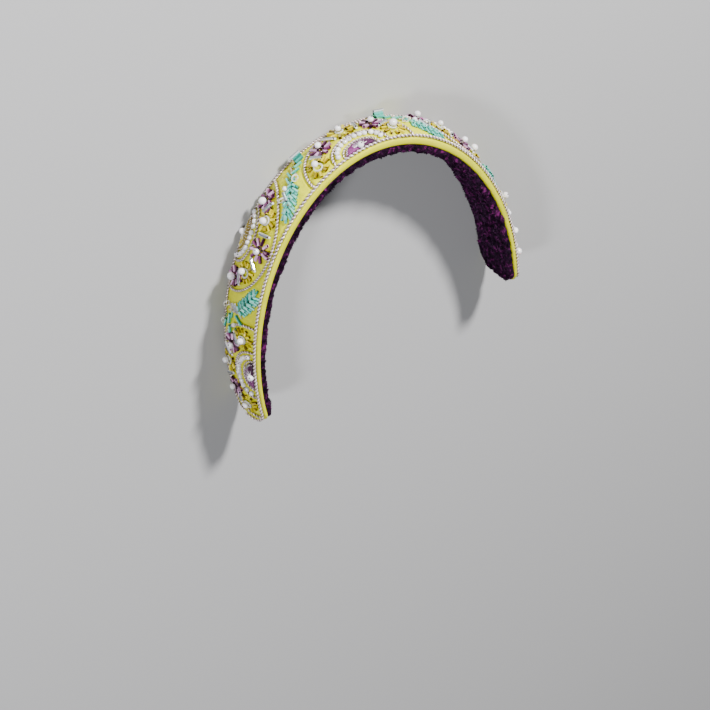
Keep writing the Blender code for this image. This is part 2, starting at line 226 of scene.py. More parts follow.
view = {
    "azimuth": -24.42, "elevation": 39.59, "roll": 134.51,   # the photograph's angle to the band, in degrees
    "distance": 1.2272, "aim": (-0.00678, -0.0767, 0.0),
    "focalPixels": 2782.0, "imagePixels": 710, "sensor": 36.0,
}


def addCamera():
    azimuth, elevation, roll = (math.radians(view[key]) for key in ("azimuth", "elevation", "roll"))
    back = Vector((math.sin(azimuth) * math.cos(elevation), math.cos(azimuth) * math.cos(elevation),
                   math.sin(elevation)))
    right = Vector((0, 0, 1)).cross(back).normalized()
    up = back.cross(right)
    turnedRight = right * math.cos(roll) + up * math.sin(roll)
    turnedUp = up * math.cos(roll) - right * math.sin(roll)
    turn = Matrix((turnedRight, turnedUp, back)).transposed().to_4x4()
    camera = newObject("camera", bpy.data.cameras.new("camera"))
    camera.data.sensor_width = view["sensor"]
    camera.data.lens = view["focalPixels"] / view["imagePixels"] * view["sensor"]
    camera.matrix_world = Matrix.Translation(Vector(view["aim"]) + back * view["distance"]) @ turn
    bpy.context.scene.camera = camera


lamps = {  # where each lamp hangs, its size, power and colour
    "key": ((0.45, 0.95, 0.65), 0.14, 43.0, (1.0, 0.99, 0.97)),
    "fill": ((-0.95, 0.45, 0.75), 0.2, 12.0, (0.97, 0.98, 1.0)),
    "low": ((-0.35, -0.9, 0.9), 0.5, 2.5, (1.0, 1.0, 1.0)),
}
studio = {"aim": Vector((0.0, 0.0, 0.01)), "colour": (0.86, 0.87, 0.9, 1.0), "strength": 0.1, "floor": 4.0}


def addLights():
    for name, (place, size, power, colour) in lamps.items():
        lamp = bpy.data.lights.new(name, "AREA")
        lamp.shape = "DISK"
        lamp.size, lamp.energy, lamp.color = size, power, colour
        holder = newObject(name, lamp)
        holder.location = place
        holder.rotation_mode = "QUATERNION"
        holder.rotation_quaternion = (studio["aim"] - Vector(place)).to_track_quat("-Z", "Y")
    world = bpy.data.worlds.new("studio")
    world.use_nodes = True
    background = world.node_tree.nodes["Background"]
    background.inputs["Color"].default_value = studio["colour"]
    background.inputs["Strength"].default_value = studio["strength"]
    bpy.context.scene.world = world


addCamera()
addLights()
print("camera and lights set")


def addNode(tree, kind, place, settings=None, values=None):
    node = tree.nodes.new(kind if kind.startswith("Node") else "ShaderNode" + kind)
    node.location = place
    for key, value in (settings or {}).items():
        setattr(node, key, value)
    for key, value in (values or {}).items():
        node.inputs[key].default_value = value
    return node


def wire(tree, *links):
    # Each link is a node and its output, then the node and the input that it goes to.
    for node, output, target, entry in links:
        tree.links.new(node.outputs[output], target.inputs[entry])


def newGroup(name, inputs, output, kind):
    # A shader group with its sockets; it returns the group, its input node and its output node.
    group = bpy.data.node_groups.new(name, "ShaderNodeTree")
    for label, socket in inputs.items():
        group.interface.new_socket(name=label, in_out="INPUT", socket_type="NodeSocket" + socket)
    group.interface.new_socket(name=output, in_out="OUTPUT", socket_type="NodeSocket" + kind)
    return group, addNode(group, "NodeGroupInput", (-900, 0)), addNode(group, "NodeGroupOutput", (700, 0))


def driftGroup():
    # Three colours spread by soft noise and by each bead's own tone.
    group, entry, leave = newGroup("colourDrift", {
        "Vector": "Vector", "Scale": "Float", "Tone": "Float", "Spread": "Float",
        "Dark": "Color", "Middle": "Color", "Light": "Color"}, "Colour", "Color")
    cloud = addNode(group, "TexNoise", (-650, 150), None, {"Detail": 3.0, "Roughness": 0.6})
    centred = addNode(group, "Math", (-450, 150), {"operation": "SUBTRACT"}, {1: 0.5})
    spread = addNode(group, "Math", (-270, 150), {"operation": "MULTIPLY"})
    total = addNode(group, "Math", (-90, 100), {"operation": "ADD", "use_clamp": True})
    lower = addNode(group, "MapRange", (90, 200), None, {"From Max": 0.5})
    upper = addNode(group, "MapRange", (90, -80), None, {"From Min": 0.5})
    first = addNode(group, "Mix", (300, 120), {"data_type": "RGBA"})
    second = addNode(group, "Mix", (490, 0), {"data_type": "RGBA"})
    wire(group, (entry, "Vector", cloud, "Vector"), (entry, "Scale", cloud, "Scale"),
         (cloud, "Fac", centred, 0), (centred, 0, spread, 0), (entry, "Spread", spread, 1),
         (spread, 0, total, 0), (entry, "Tone", total, 1), (total, 0, lower, "Value"),
         (total, 0, upper, "Value"), (lower, "Result", first, "Factor"), (entry, "Dark", first, 6),
         (entry, "Middle", first, 7), (upper, "Result", second, "Factor"), (first, 2, second, 6),
         (entry, "Light", second, 7), (second, 2, leave, "Colour"))
    return group


def grainGroup():
    # Fine uneven grain at two sizes, for threads, pile, glass and the floor.
    group, entry, leave = newGroup(
        "fineGrain", {"Vector": "Vector", "Scale": "Float", "Coarse": "Float"}, "Height", "Float")
    fine = addNode(group, "TexNoise", (-500, 150), None, {"Detail": 2.0, "Roughness": 0.55})
    less = addNode(group, "Math", (-680, -150), {"operation": "MULTIPLY"}, {1: 0.28})
    broad = addNode(group, "TexNoise", (-500, -150), None, {"Detail": 2.0, "Roughness": 0.5})
    blend = addNode(group, "Mix", (-200, 0))
    wire(group, (entry, "Vector", fine, "Vector"), (entry, "Vector", broad, "Vector"),
         (entry, "Scale", fine, "Scale"), (entry, "Scale", less, 0), (less, 0, broad, "Scale"),
         (entry, "Coarse", blend, "Factor"), (fine, "Fac", blend, 2), (broad, "Fac", blend, 3),
         (blend, 0, leave, "Height"))
    return group


surfaces = {  # the shader's values, how the colours drift, and the grain with its bump's strength and depth
    "satin": {
        "shader": {"Roughness": 0.42, "Sheen Weight": 0.08, "Sheen Roughness": 0.4, "Anisotropic": 0.45,
                   "Sheen Tint": (1.0, 0.96, 0.3, 1), "Specular IOR Level": 0.5,
                   "Specular Tint": (1.0, 0.97, 0.5, 1)},
        "drift": {"Scale": 55.0, "Tone": 0.55, "Spread": 0.75},
        "grain": {"Scale": 4.0, "Coarse": 0.5}, "bump": (0.4, 0.00015)},
    "velvet": {
        "shader": {"Roughness": 0.95, "Sheen Weight": 0.3, "Sheen Roughness": 0.35,
                   "Sheen Tint": (0.5, 0.15, 0.55, 1), "Specular IOR Level": 0.15},
        "drift": {"Scale": 420.0, "Tone": 0.34, "Spread": 3.2},
        "grain": {"Scale": 3000.0, "Coarse": 0.5}, "bump": (0.8, 0.0004)},
    "pearl": {
        "shader": {"Roughness": 0.24, "Coat Weight": 0.9, "Coat Roughness": 0.06, "Subsurface Weight": 0.08,
                   "Subsurface Scale": 0.0006, "Thin Film Thickness": 380.0, "Thin Film IOR": 1.4,
                   "Specular IOR Level": 0.6},
        "drift": {"Scale": 500.0, "Spread": 0.3},
        "grain": {"Scale": 1500.0, "Coarse": 0.4}, "bump": (0.12, 0.00008)},
    "glass": {
        "shader": {"Roughness": 0.16, "Metallic": 0.6, "Coat Weight": 0.6, "Coat Roughness": 0.05,
                   "Specular IOR Level": 0.6},
        "drift": {"Scale": 900.0, "Spread": 0.55},
        "grain": {"Scale": 2600.0, "Coarse": 0.4}, "bump": (0.25, 0.00006)},
    "clear": {
        "shader": {"Roughness": 0.08, "Coat Weight": 1.0, "Coat Roughness": 0.03,
                   "Transmission Weight": 0.4, "IOR": 1.5},
        "drift": {"Scale": 900.0, "Spread": 0.55},
        "grain": {"Scale": 2600.0, "Coarse": 0.4}, "bump": (0.25, 0.00006)},
    "cord": {
        "shader": {"Metallic": 0.55, "Roughness": 0.34, "Coat Weight": 0.3, "Coat Roughness": 0.2},
        "drift": {"Scale": 1400.0, "Tone": 0.55, "Spread": 2.2},
        "grain": {"Scale": 5000.0, "Coarse": 0.3}, "bump": (0.6, 0.00008)},
    "silk": {
        "shader": {"Roughness": 0.4, "Sheen Weight": 0.08, "Sheen Roughness": 0.3, "Coat Weight": 0.1,
                   "Coat Roughness": 0.3},
        "drift": {"Scale": 620.0, "Spread": 0.3},
        "grain": {"Scale": 3600.0, "Coarse": 0.4}, "bump": (0.5, 0.00008)},
    "floor": {
        "shader": {"Roughness": 0.75, "Base Color": (0.42, 0.42, 0.43, 1.0)},
        "grain": {"Scale": 900.0, "Coarse": 0.4}, "bump": (0.05, 0.0002)},
}
finishTable = {  # kind of surface, the record's slot, then the dark, middle and light colour
    "satin": ("satin", "satin", (0.44, 0.44, 0.0), (0.66, 0.665, 0.0), (0.80, 0.81, 0.02)),
    "velvet": ("velvet", "velvet", (0.003, 0.0005, 0.004), (0.018, 0.0015, 0.018), (0.17, 0.014, 0.13)),
    # The pearl's dark colour is reached in the drilled holes, as painted shade.
    "pearl": ("pearl", "pearl", (0.06, 0.045, 0.05), (0.80, 0.76, 0.80), (0.99, 0.96, 1.0)),
    "goldGlass": ("glass", "gold_bead", (0.07, 0.03, 0.0), (0.56, 0.42, 0.0), (1.0, 0.88, 0.0)),
    "violetGlass": ("glass", "violet_bead", (0.045, 0.002, 0.024), (0.30, 0.05, 0.21), (0.88, 0.50, 0.82)),
    "aquaGlass": ("glass", "aqua_bead", (0.004, 0.13, 0.10), (0.08, 0.62, 0.50), (0.42, 0.98, 0.88)),
    "silverGlass": ("glass", "metallic_cord", (0.04, 0.045, 0.055), (0.34, 0.37, 0.42), (0.97, 0.97, 0.99)),
    "greenGlass": ("glass", "aqua_bead", (0.02, 0.10, 0.03), (0.10, 0.34, 0.12), (0.35, 0.62, 0.40)),
    "beigeGlass": ("glass", "gold_bead", (0.30, 0.22, 0.12), (0.70, 0.58, 0.42), (0.92, 0.84, 0.72)),
    "clearGlass": ("clear", "pearl", (0.62, 0.62, 0.58), (0.86, 0.86, 0.82), (0.97, 0.97, 0.95)),
    "silverCord": ("cord", "metallic_cord", (0.34, 0.24, 0.23), (0.78, 0.66, 0.66), (1.0, 0.93, 0.95)),
    # The dark strand of the silver cords: painted shade between the plies.
    "silverCordPaintedShade": ("cord", "metallic_cord", (0.035, 0.02, 0.022), (0.15, 0.10, 0.095), (0.42, 0.33, 0.32)),
    "giltCord": ("cord", "metallic_cord", (0.24, 0.17, 0.05), (0.70, 0.60, 0.30), (0.98, 0.94, 0.74)),
    # The dark strand of the gilt cords: painted shade between the plies.
    "giltCordPaintedShade": ("cord", "metallic_cord", (0.05, 0.03, 0.012), (0.20, 0.14, 0.05), (0.46, 0.38, 0.20)),
    "orchidSilk": ("silk", "purple_thread", (0.022, 0.001, 0.018), (0.19, 0.018, 0.15), (0.66, 0.24, 0.62)),
    "strawSilk": ("silk", "gold_thread", (0.12, 0.07, 0.0), (0.50, 0.38, 0.01), (0.92, 0.80, 0.08)),
    "whiteSilk": ("silk", "pearl", (0.50, 0.46, 0.47), (0.82, 0.78, 0.80), (0.98, 0.97, 0.98)),
    "paleFloor": ("floor", None),
}
satinWeave = {"threads": 2400.0, "wander": 0.6, "threadShare": 0.35, "slubs": (60.0, 900.0, 1.0)}
colourDrift, fineGrain = driftGroup(), grainGroup()


def addFinish(name, kind, colours):
    # Where a surface's drift has no tone, each bead or stitch brings its own in an attribute.
    look = surfaces[kind]
    finish = bpy.data.materials.new(name)
    finish.use_nodes = True
    tree = finish.node_tree
    shader = tree.nodes["Principled BSDF"]
    for key, value in look["shader"].items():
        shader.inputs[key].default_value = value
    spot = addNode(tree, "TexCoord", (-1000, 0))
    grain = addNode(tree, "Group", (-600, -250), {"node_tree": fineGrain, "name": "grain"}, look["grain"])
    strength, depth = look["bump"]
    bump = addNode(tree, "Bump", (-200, -300), {"name": "bump"}, {"Strength": strength, "Distance": depth})
    wire(tree, (spot, "Object", grain, "Vector"), (grain, "Height", bump, "Height"),
         (bump, "Normal", shader, "Normal"))
    if not colours:
        return finish
    tints = {key: (*colour, 1) for key, colour in zip(("Dark", "Middle", "Light"), colours)}
    drift = addNode(tree, "Group", (-600, 150), {"node_tree": colourDrift}, {**look["drift"], **tints})
    wire(tree, (spot, "Object", drift, "Vector"), (drift, "Colour", shader, "Base Color"))
    if "Tone" not in look["drift"]:
        tone = addNode(tree, "Attribute", (-1000, 260), {"attribute_name": "tone"})
        wire(tree, (tone, "Fac", drift, "Tone"))
    return finish


def weaveSatin(tree):
    # The satin's grain becomes slubs drawn out along the cloth, with its threads over them.
    grain, bump = tree.nodes["grain"], tree.nodes["bump"]
    cloth = addNode(tree, "UVMap", (-1300, -300), {"uv_map": "cloth"})
    stretch = addNode(tree, "Mapping", (-1050, -300), None, {"Scale": satinWeave["slubs"]})
    threads = addNode(tree, "TexWave", (-600, -450), {"wave_type": "BANDS", "bands_direction": "X"}, {
        "Scale": satinWeave["threads"], "Distortion": satinWeave["wander"], "Detail": 1.5, "Detail Scale": 1.3})
    both = addNode(tree, "Math", (-400, -350), {"operation": "MULTIPLY_ADD"}, {1: satinWeave["threadShare"]})
    wire(tree, (cloth, "UV", stretch, "Vector"), (stretch, "Vector", grain, "Vector"),
         (cloth, "UV", threads, "Vector"), (threads, "Fac", both, 0), (grain, "Height", both, 2),
         (both, 0, bump, "Height"))


finishes = {name: addFinish(name, kind, colours) for name, (kind, _, *colours) in finishTable.items()}
weaveSatin(finishes["satin"].node_tree)
print("materials made")


def addPiece(name, data, nodes=()):
    piece = newObject(name, data)
    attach(piece, "root")
    if nodes:
        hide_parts(*nodes)
    return piece


def meshFrom(name, bm):
    mesh = bpy.data.meshes.new(name)
    bm.to_mesh(mesh)
    bm.free()
    return mesh


def addMeshPiece(name, bm, finish, nodes=(), sharp=38.0):
    mesh = meshFrom(name, bm)
    mesh.shade_smooth()
    mesh.set_sharp_from_angle(angle=math.radians(sharp))
    mesh.materials.append(finishes[finish])
    return addPiece(name, mesh, nodes)


def layPiece(name, bm, finish, nodes=(), sharp=38.0):
    # From the flat-laid band to the arch: x is along, y is across and z is the lift.
    for vert in bm.verts:
        vert.co = onSatin(*vert.co)
    return addMeshPiece(name, bm, finish, nodes, sharp)


def newBeadMesh():
    bm = bmesh.new()
    bm.verts.layers.float.new("tone")
    return bm


def stamp(bm, shape, matrix, tone):
    # A copy of a small shape at its place on the flat-laid band, with its own tone.
    start = len(bm.verts)
    bm.from_mesh(shape)
    bm.verts.ensure_lookup_table()
    fresh = bm.verts[start:]
    layer = bm.verts.layers.float["tone"]
    for vert in fresh:
        vert[layer] += tone      # the shape holds painted shade, a darker tone, in its drilled hole
    bmesh.ops.transform(bm, matrix=matrix, verts=fresh)


def shapeFrom(bm, name):
    bmesh.ops.recalc_face_normals(bm, faces=bm.faces)
    return meshFrom(name, bm)


beadShapes = {  # sizes as shares of the bead's own
    # A bugle's hole tone is painted shade inside its holes; its two sheen values are painted light: a highlight
    # along the top, or glints along the sides over a darker top.
    "bugle": {"sides": 8, "wall": 0.13, "hole": 0.16, "holeShade": -0.9, "paintedSheen": 0.26, "lining": -0.5},
    "pearl": {"turns": 10, "arc": 5, "hole": 0.24, "bore": 0.42, "shrink": 0.9},
    "ring": {"turns": 14, "sides": 6, "thick": 0.17},
    "seed": {"squash": 0.8},
}


def spinShut(bm, geom, turns):
    bmesh.ops.spin(bm, geom=geom, cent=(0, 0, 0), axis=(0, 0, 1), dvec=(0, 0, 0), angle=math.tau,
                   steps=turns, use_merge=True)


def bugleShape(paintedSheen):
    # A drilled tube of unit length and diameter along X, with painted light round it: its top lighter than its
    # sides by the given amount as a painted highlight, or darker than its sides with painted glints where the
    # amount is negative.
    look = beadShapes["bugle"]
    bm = newBeadMesh()
    tone = bm.verts.layers.float["tone"]
    bmesh.ops.create_cone(bm, cap_ends=True, segments=look["sides"], radius1=0.5, radius2=0.5, depth=1.0,
                          matrix=Matrix.Rotation(math.pi / 2, 4, "Y"))
    for vert in bm.verts:
        # Painted highlight along the top and painted shade down the sides, the other way round where the value
        # is negative.
        vert[tone] = -paintedSheen * math.cos(2 * math.atan2(vert.co.z, vert.co.y))
    caps = [face for face in bm.faces if len(face.verts) == look["sides"]]
    bmesh.ops.inset_individual(bm, faces=caps, thickness=look["wall"])
    for face in bmesh.ops.extrude_discrete_faces(bm, faces=caps)["faces"]:
        inwards = -look["hole"] if face.calc_center_median().x > 0 else look["hole"]
        bmesh.ops.translate(bm, verts=face.verts, vec=(inwards, 0, 0))
        # Painted shade inside the drilled hole.
        for vert in face.verts:
            vert[tone] = look["holeShade"]
    bmesh.ops.remove_doubles(bm, verts=bm.verts, dist=1e-5)
    return shapeFrom(bm, "bugle")


def pearlShape():
    # A drilled round bead of unit diameter with its hole along Z.
    look = beadShapes["pearl"]
    bm = newBeadMesh()
    tone = bm.verts.layers.float["tone"]
    tilt = math.asin(look["hole"])
    profile = []
    for step in range(look["arc"] + 1):
        angle = tilt + (math.pi - 2 * tilt) * step / look["arc"]
        profile.append(bm.verts.new((0.5 * math.sin(angle), 0, 0.5 * math.cos(angle))))
    for height in (-look["bore"], look["bore"]):
        profile.append(bm.verts.new((0.5 * look["hole"] * look["shrink"], 0, height * look["shrink"])))
        # Painted shade inside the drilled hole.
        profile[-1][tone] = -1.0
    edges = [bm.edges.new(pair) for pair in zip(profile, profile[1:])]
    edges.append(bm.edges.new((profile[-1], profile[0])))
    spinShut(bm, profile + edges, look["turns"])
    return shapeFrom(bm, "pearl")


def ringShape():
    # A glass ring of unit diameter lying flat.
    look = beadShapes["ring"]
    radius = look["thick"] / 2
    bm = newBeadMesh()
    place = Matrix.Translation((0.5 - radius, 0, 0)) @ Matrix.Rotation(math.pi / 2, 4, "X")
    verts = bmesh.ops.create_circle(bm, segments=look["sides"], radius=radius, matrix=place)["verts"]
    spinShut(bm, verts + list({edge for vert in verts for edge in vert.link_edges}), look["turns"])
    return shapeFrom(bm, "ring")


def seedShape():
    # A small squat seed bead of unit diameter.
    bm = newBeadMesh()
    bmesh.ops.create_icosphere(bm, subdivisions=1, radius=0.5)
    bmesh.ops.scale(bm, vec=(1, 1, beadShapes["seed"]["squash"]), verts=bm.verts)
    return shapeFrom(bm, "seed")


# The first bugle has a painted highlight along its top; the second has painted glints along its sides over a
# darker top.
bugle, glintSidedBugle = bugleShape(beadShapes["bugle"]["paintedSheen"]), bugleShape(beadShapes["bugle"]["lining"])
drilledPearl, glassRing, seed = pearlShape(), ringShape(), seedShape()


def beadMatrix(along, across, lift, turn=0.0, tilt=0.0, size=(1, 1, 1)):
    # Place, turn on the satin, tilt of the far end upwards, and size of a bead that lies along X.
    return (Matrix.Translation((along, across, lift)) @ Matrix.Rotation(turn, 4, "Z")
            @ Matrix.Rotation(-tilt, 4, "Y") @ Matrix.Diagonal((*size, 1)))


def randomLean(rng, first, second):
    # How a pearl's hole leans to both sides, each with its mean and spread.
    return Matrix.Rotation(rng.gauss(*first), 4, "X") @ Matrix.Rotation(rng.gauss(*second), 4, "Y")


satinBand = {
    "stationStep": 0.0006, "outer": 60, "side": 8, "inner": 10, "round": 0.0006, "wallBulge": 0.0003,
    "dimple": 0.0005, "dimpleReach": 0.0010, "puff": 0.0005, "wrinkle": 0.00034, "nearRing": 0.004,
}


def cornerCut(distance, radius):
    if distance >= radius:
        return 0.0
    return radius - math.sqrt(max(radius ** 2 - (radius - distance) ** 2, 0.0))


def edgesAt(along, inset):
    distance = max(halfLength - inset - abs(along), 0.0)
    front = inset + cornerCut(distance, band["frontCorner"] - inset)
    back = widthAt(along) - inset - cornerCut(distance, band["backCorner"] - inset)
    return front, back


stitchedRings = []
for name, position, edge in panels["places"]:
    centre = position * panelPitch
    for ring in ("panel_cord", "scallop_cord", "moon_cord"):
        stitchedRings.append((centre, edge, *ringSizes(centre)[ring]))


def pullAt(distance):
    return math.exp(-(distance / satinBand["dimpleReach"]) ** 2)


def stitchPull(along, across):
    # How far the cords' stitches pull the satin in, 0 to 1.
    width = widthAt(along)
    pull = max(pullAt(across - panels["frontInset"]), pullAt(width - panels["backInset"] - across))
    for centre, edge, reach, depth in stitchedRings:
        x = along - centre
        if abs(x) > reach + satinBand["nearRing"]:
            continue
        y = across - frontMargin if edge == "front" else width - backMargin - across
        q = math.hypot(x / reach, y / depth)
        if q >= 0.01:
            pull = max(pull, pullAt(abs(q - 1) * math.hypot(x, y) / q))
    return pull


def satinLift(along, across):
    pull = stitchPull(along, across)
    soft = noise.noise(Vector((along * 140, across * 170, 3.1)))
    crease = noise.noise(Vector((along * 520, across * 300, 8.7)))
    puffed = satinBand["puff"] * (0.45 + 0.55 * soft) * (1 - pull)
    return puffed - satinBand["dimple"] * pull + satinBand["wrinkle"] * crease


def satinPoint(along, share):
    # A point round the section: over the top, down the back, along the underside and up the front.
    look = satinBand
    front, back = edgesAt(along, 0.0)
    wall = sizeAt("wall", along)
    radius = look["round"]
    top = cornerCut(max(halfLength - abs(along), 0.0), radius * 0.9)
    low = wall - top
    counts = (look["outer"], look["side"], look["inner"], look["side"])
    step = share * sum(counts)
    if step <= counts[0]:
        across = front + radius + (back - front - 2 * radius) * step / counts[0]
        return onSatin(along, across, satinLift(along, across) - top)
    step -= counts[0]
    if step <= counts[1]:
        angle = math.pi * step / counts[1]
        depth = (top + low) / 2 - (low - top) / 2 * math.cos(angle)
        return underSatin(along, back - radius * (1 - math.sin(angle) ** 0.5), depth)
    step -= counts[1]
    if step <= counts[2]:
        across = back - radius + (front - back + 2 * radius) * step / counts[2]
        return underSatin(along, across, low)
    step -= counts[2]
    angle = math.pi * step / counts[3]
    depth = (top + low) / 2 + (low - top) / 2 * math.cos(angle)
    proud = look["wallBulge"] * math.sin(angle) * (1 + 0.5 * noise.noise(Vector((along * 160, depth * 300, 1))))
    return underSatin(along, front + radius * (1 - max(math.sin(angle), 0.0) ** 0.5) - proud, depth)


def addTubeGrid(stations, ringCount, pointAt):
    # A closed tube from a grid: stations along the band by points round the section.
    bm = bmesh.new()
    uv = bm.loops.layers.uv.new("cloth")
    bmesh.ops.create_grid(bm, x_segments=len(stations) - 1, y_segments=ringCount, size=0.5, calc_uvs=True)
    for face in bm.faces:
        for loop in face.loops:
            place = loop.vert.co
            loop[uv].uv = ((place.x + 0.5) * 2 * halfLength, (place.y + 0.5) * band["girth"])
    for vert in bm.verts:
        station = stations[round((vert.co.x + 0.5) * (len(stations) - 1))]
        vert.co = pointAt(station, (vert.co.y + 0.5) % 1.0 if vert.co.y < 0.4999 else 0.0)
    bmesh.ops.remove_doubles(bm, verts=bm.verts, dist=1e-7)
    bmesh.ops.holes_fill(bm, edges=[edge for edge in bm.edges if edge.is_boundary], sides=0)
    bmesh.ops.recalc_face_normals(bm, faces=bm.faces)
    return bm


def bandStations(step, inset, bends=12):
    reach = halfLength - inset
    corner = band["backCorner"]
    count = round(2 * (reach - corner) / step)
    middle = [-(reach - corner) + 2 * (reach - corner) * i / count for i in range(count + 1)]
    ends = [reach - corner * (1 - math.sin(math.pi / 2 * i / bends)) for i in range(bends, 0, -1)]
    return [-value for value in ends] + middle + list(reversed(ends))


satinMesh = addTubeGrid(bandStations(satinBand["stationStep"], 0.0),
                        satinBand["outer"] + 2 * satinBand["side"] + satinBand["inner"], satinPoint)
satinPiece = addMeshPiece("padded_satin", satinMesh, "satin", ["satin_band"], sharp=60.0)
print("satin band made:", len(satinPiece.data.polygons), "faces")

velvetLining = {
    "stationStep": 0.0009, "sections": (16, 5, 16, 5), "inset": 0.0008, "round": 0.0006, "lumps": 0.0013,
    "tufts": (0.0006, 0.0011), "frontTufts": 20000, "otherTufts": 20000, "otherShare": 0.85,
    "tuftLean": 0.45, "tuftRoot": 0.00008, "floorGap": 0.0002, "seed": 11,
}


def velvetPoint(along, share):
    look = velvetLining
    front, back = edgesAt(along, look["inset"])
    satinWall, wall = sizeAt("wall", along), sizeAt("lining", along)
    top = satinWall + band["clearance"] * 0.4
    low = satinWall + band["clearance"] + wall
    counts = look["sections"]
    step = share * sum(counts)
    lump = look["lumps"] * noise.noise(Vector((along * 290 + step * 0.23, step * 0.31 - along * 120, 5.5)))
    lump += 0.4 * look["lumps"] * noise.noise(Vector((along * 610, step * 0.4 + along * 260, 9.1)))
    if step <= counts[0]:
        return underSatin(along, front + (back - front) * step / counts[0], top)
    step -= counts[0]
    if step <= counts[1]:
        angle = math.pi / 2 * step / counts[1]
        across = back - look["round"] * (1 - math.cos(angle))
        return underSatin(along, across, top + (low - top) * math.sin(angle))
    step -= counts[1]
    if step <= counts[2]:
        across = back - look["round"] + (front - back + 2 * look["round"]) * step / counts[2]
        return underSatin(along, across, low + lump)
    step -= counts[2]
    angle = math.pi / 2 * step / counts[3]
    proud = 0.17 * wall * math.sin(2 * angle)
    across = front + look["round"] * (1 - math.sin(angle)) - proud + lump
    return underSatin(along, across, low + lump - (low + lump - top) * (1 - math.cos(angle)))


def tuftShape():
    bm = bmesh.new()
    bmesh.ops.create_cone(bm, cap_ends=True, segments=3, radius1=0.5, radius2=0.0, depth=1.0,
                          matrix=Matrix.Translation((0, 0, 0.5)))
    bmesh.ops.remove_doubles(bm, verts=bm.verts, dist=1e-5)
    return shapeFrom(bm, "tuft")


def faceSpot(face, rng):
    # A random point on a four-sided face.
    a, b, c, d = (vert.co for vert in face.verts)
    s, t = rng.random(), rng.random()
    return a.lerp(b, s).lerp(d.lerp(c, s), t)


def addPile(base):
    # Short closed tufts over the lining: one cone doubled until there are enough, then each is planted.
    look = velvetLining
    rng = random.Random(look["seed"])
    fronts, others = [], []
    for face in base.faces:
        if len(face.verts) == 4:
            (fronts if face.normal.z > 0.35 else others).append(face)
    spots = [(rng.choice(fronts), 1.0) for _ in range(look["frontTufts"])]
    spots += [(rng.choice(others), look["otherShare"]) for _ in range(look["otherTufts"])]
    bm = bmesh.new()
    bm.from_mesh(tuftShape())
    tuft = [vert.co.copy() for vert in bm.verts]
    while len(bm.verts) < len(spots) * len(tuft):
        bmesh.ops.duplicate(bm, geom=bm.verts[:] + bm.edges[:] + bm.faces[:])
    bm.verts.ensure_lookup_table()
    bmesh.ops.delete(bm, geom=bm.verts[len(spots) * len(tuft):], context="VERTS")
    bm.verts.ensure_lookup_table()
    wide, tall = look["tufts"]
    for index, (face, share) in enumerate(spots):
        spot = faceSpot(face, rng)
        lean = Vector((rng.gauss(0, 1), rng.gauss(0, 1), rng.gauss(0, 1))) * look["tuftLean"]
        aim = (face.normal + lean).normalized()
        turn = aim.to_track_quat("Z", "Y")
        clump = 0.7 + 0.9 * noise.noise(spot * 420)
        size = Vector((wide, wide, tall * share * clump * rng.uniform(0.6, 1.2)))
        for k, corner in enumerate(tuft):
            point = spot + turn @ (corner * size) - aim * look["tuftRoot"]
            point.z = max(point.z, look["floorGap"])
            bm.verts[index * len(tuft) + k].co = point
    return bm


velvetMesh = addTubeGrid(bandStations(velvetLining["stationStep"], velvetLining["inset"]),
                         sum(velvetLining["sections"]), velvetPoint)
pileMesh = addPile(velvetMesh)
addMeshPiece("velvet_base", velvetMesh, "velvet", ["velvet_lining"], sharp=80.0)
pilePiece = addMeshPiece("velvet_pile", pileMesh, "velvet", ["velvet_lining"], sharp=80.0)
print("velvet made:", len(pilePiece.data.polygons), "faces in the pile")

cordTwist = {  # thickness of the bright strand and of the dark strand of painted shade, and their orbit, as shares of the cord's diameter
    "twisted": {"thick": (0.26, 0.22), "orbit": 0.25, "pitch": 0.0015, "steps": 8},
    "rope": {"thick": (0.28, 0.18), "orbit": 0.23, "pitch": 0.0019, "steps": 9},
    "fine": {"thick": (0.27, 0.24), "orbit": 0.23, "pitch": 0.0013, "steps": 8},
    "height": 0.38,      # of the cord's middle over the satin
}
# Each pair is a cord's own colour and a dark strand of painted shade.
silverPair, gildedPair = ("silverCord", "silverCordPaintedShade"), ("giltCord", "giltCordPaintedShade")


def addCord(name, route, diameter, kind, pair, node):
    # A bright strand with a thinner dark one twisted round it; the dark strand is painted shade in the gaps of
    # the twist.
    look = cordTwist[kind]
    curve = bpy.data.curves.new(name, "CURVE")
    curve.dimensions = "3D"
    curve.bevel_depth = diameter * look["thick"][0]
    curve.bevel_resolution = 1
    curve.use_fill_caps = True
    for finish in pair:      # before the splines, whose material index holds only then
        curve.materials.append(finishes[finish])
    places = evenRoute(route, look["pitch"] / look["steps"])
    lift, orbit = diameter * cordTwist["height"], diameter * look["orbit"]
    # The second strand is the dark one, painted shade between the plies.
    for dark in (0, 1):
        spline = curve.splines.new("POLY")
        spline.points.add(len(places) - 1)
        spline.material_index = dark
        for i, (along, across, da, dc) in enumerate(places):
            angle = math.tau * (i / look["steps"]) + math.pi * dark
            side, rise = orbit * math.cos(angle), orbit * math.sin(angle)
            spline.points[i].co = (*onSatin(along - dc * side, across + da * side, lift + rise), 1.0)
            spline.points[i].radius = look["thick"][dark] / look["thick"][0]
    addPiece(name, curve, [node])


addCord("front_edge_cord", edgeRoute("front"), cords["front"], "rope", silverPair, "front_cord")
addCord("back_edge_cord", edgeRoute("back"), cords["back"], "twisted", silverPair, "back_cord")
for name, position, edge in panels["places"]:
    for label, ring, steps, size, kind in (("outline_", "panel_cord", 90, "panel", "twisted"),
                                           ("scallop_", "scallop_cord", 60, "scallop", "twisted"),
                                           ("moon_edge_", "moon_cord", 60, "moon", "fine")):
        pair = gildedPair if kind == "fine" and edge == "back" else silverPair
        route = ringRoute(position * panelPitch, edge, ring, steps, panels["base"])
        addCord(label + name, route, cords[size], kind, pair, f"{ring}_{name}")
print("cords laid")

pearlRow = {
    "beads": 12, "size": 0.0022, "lift": 0.00095, "jitter": 0.00012, "lean": ((0.0, 0.5), (0.35, 0.35)),
    "squash": 0.9, "seed": 21,
}


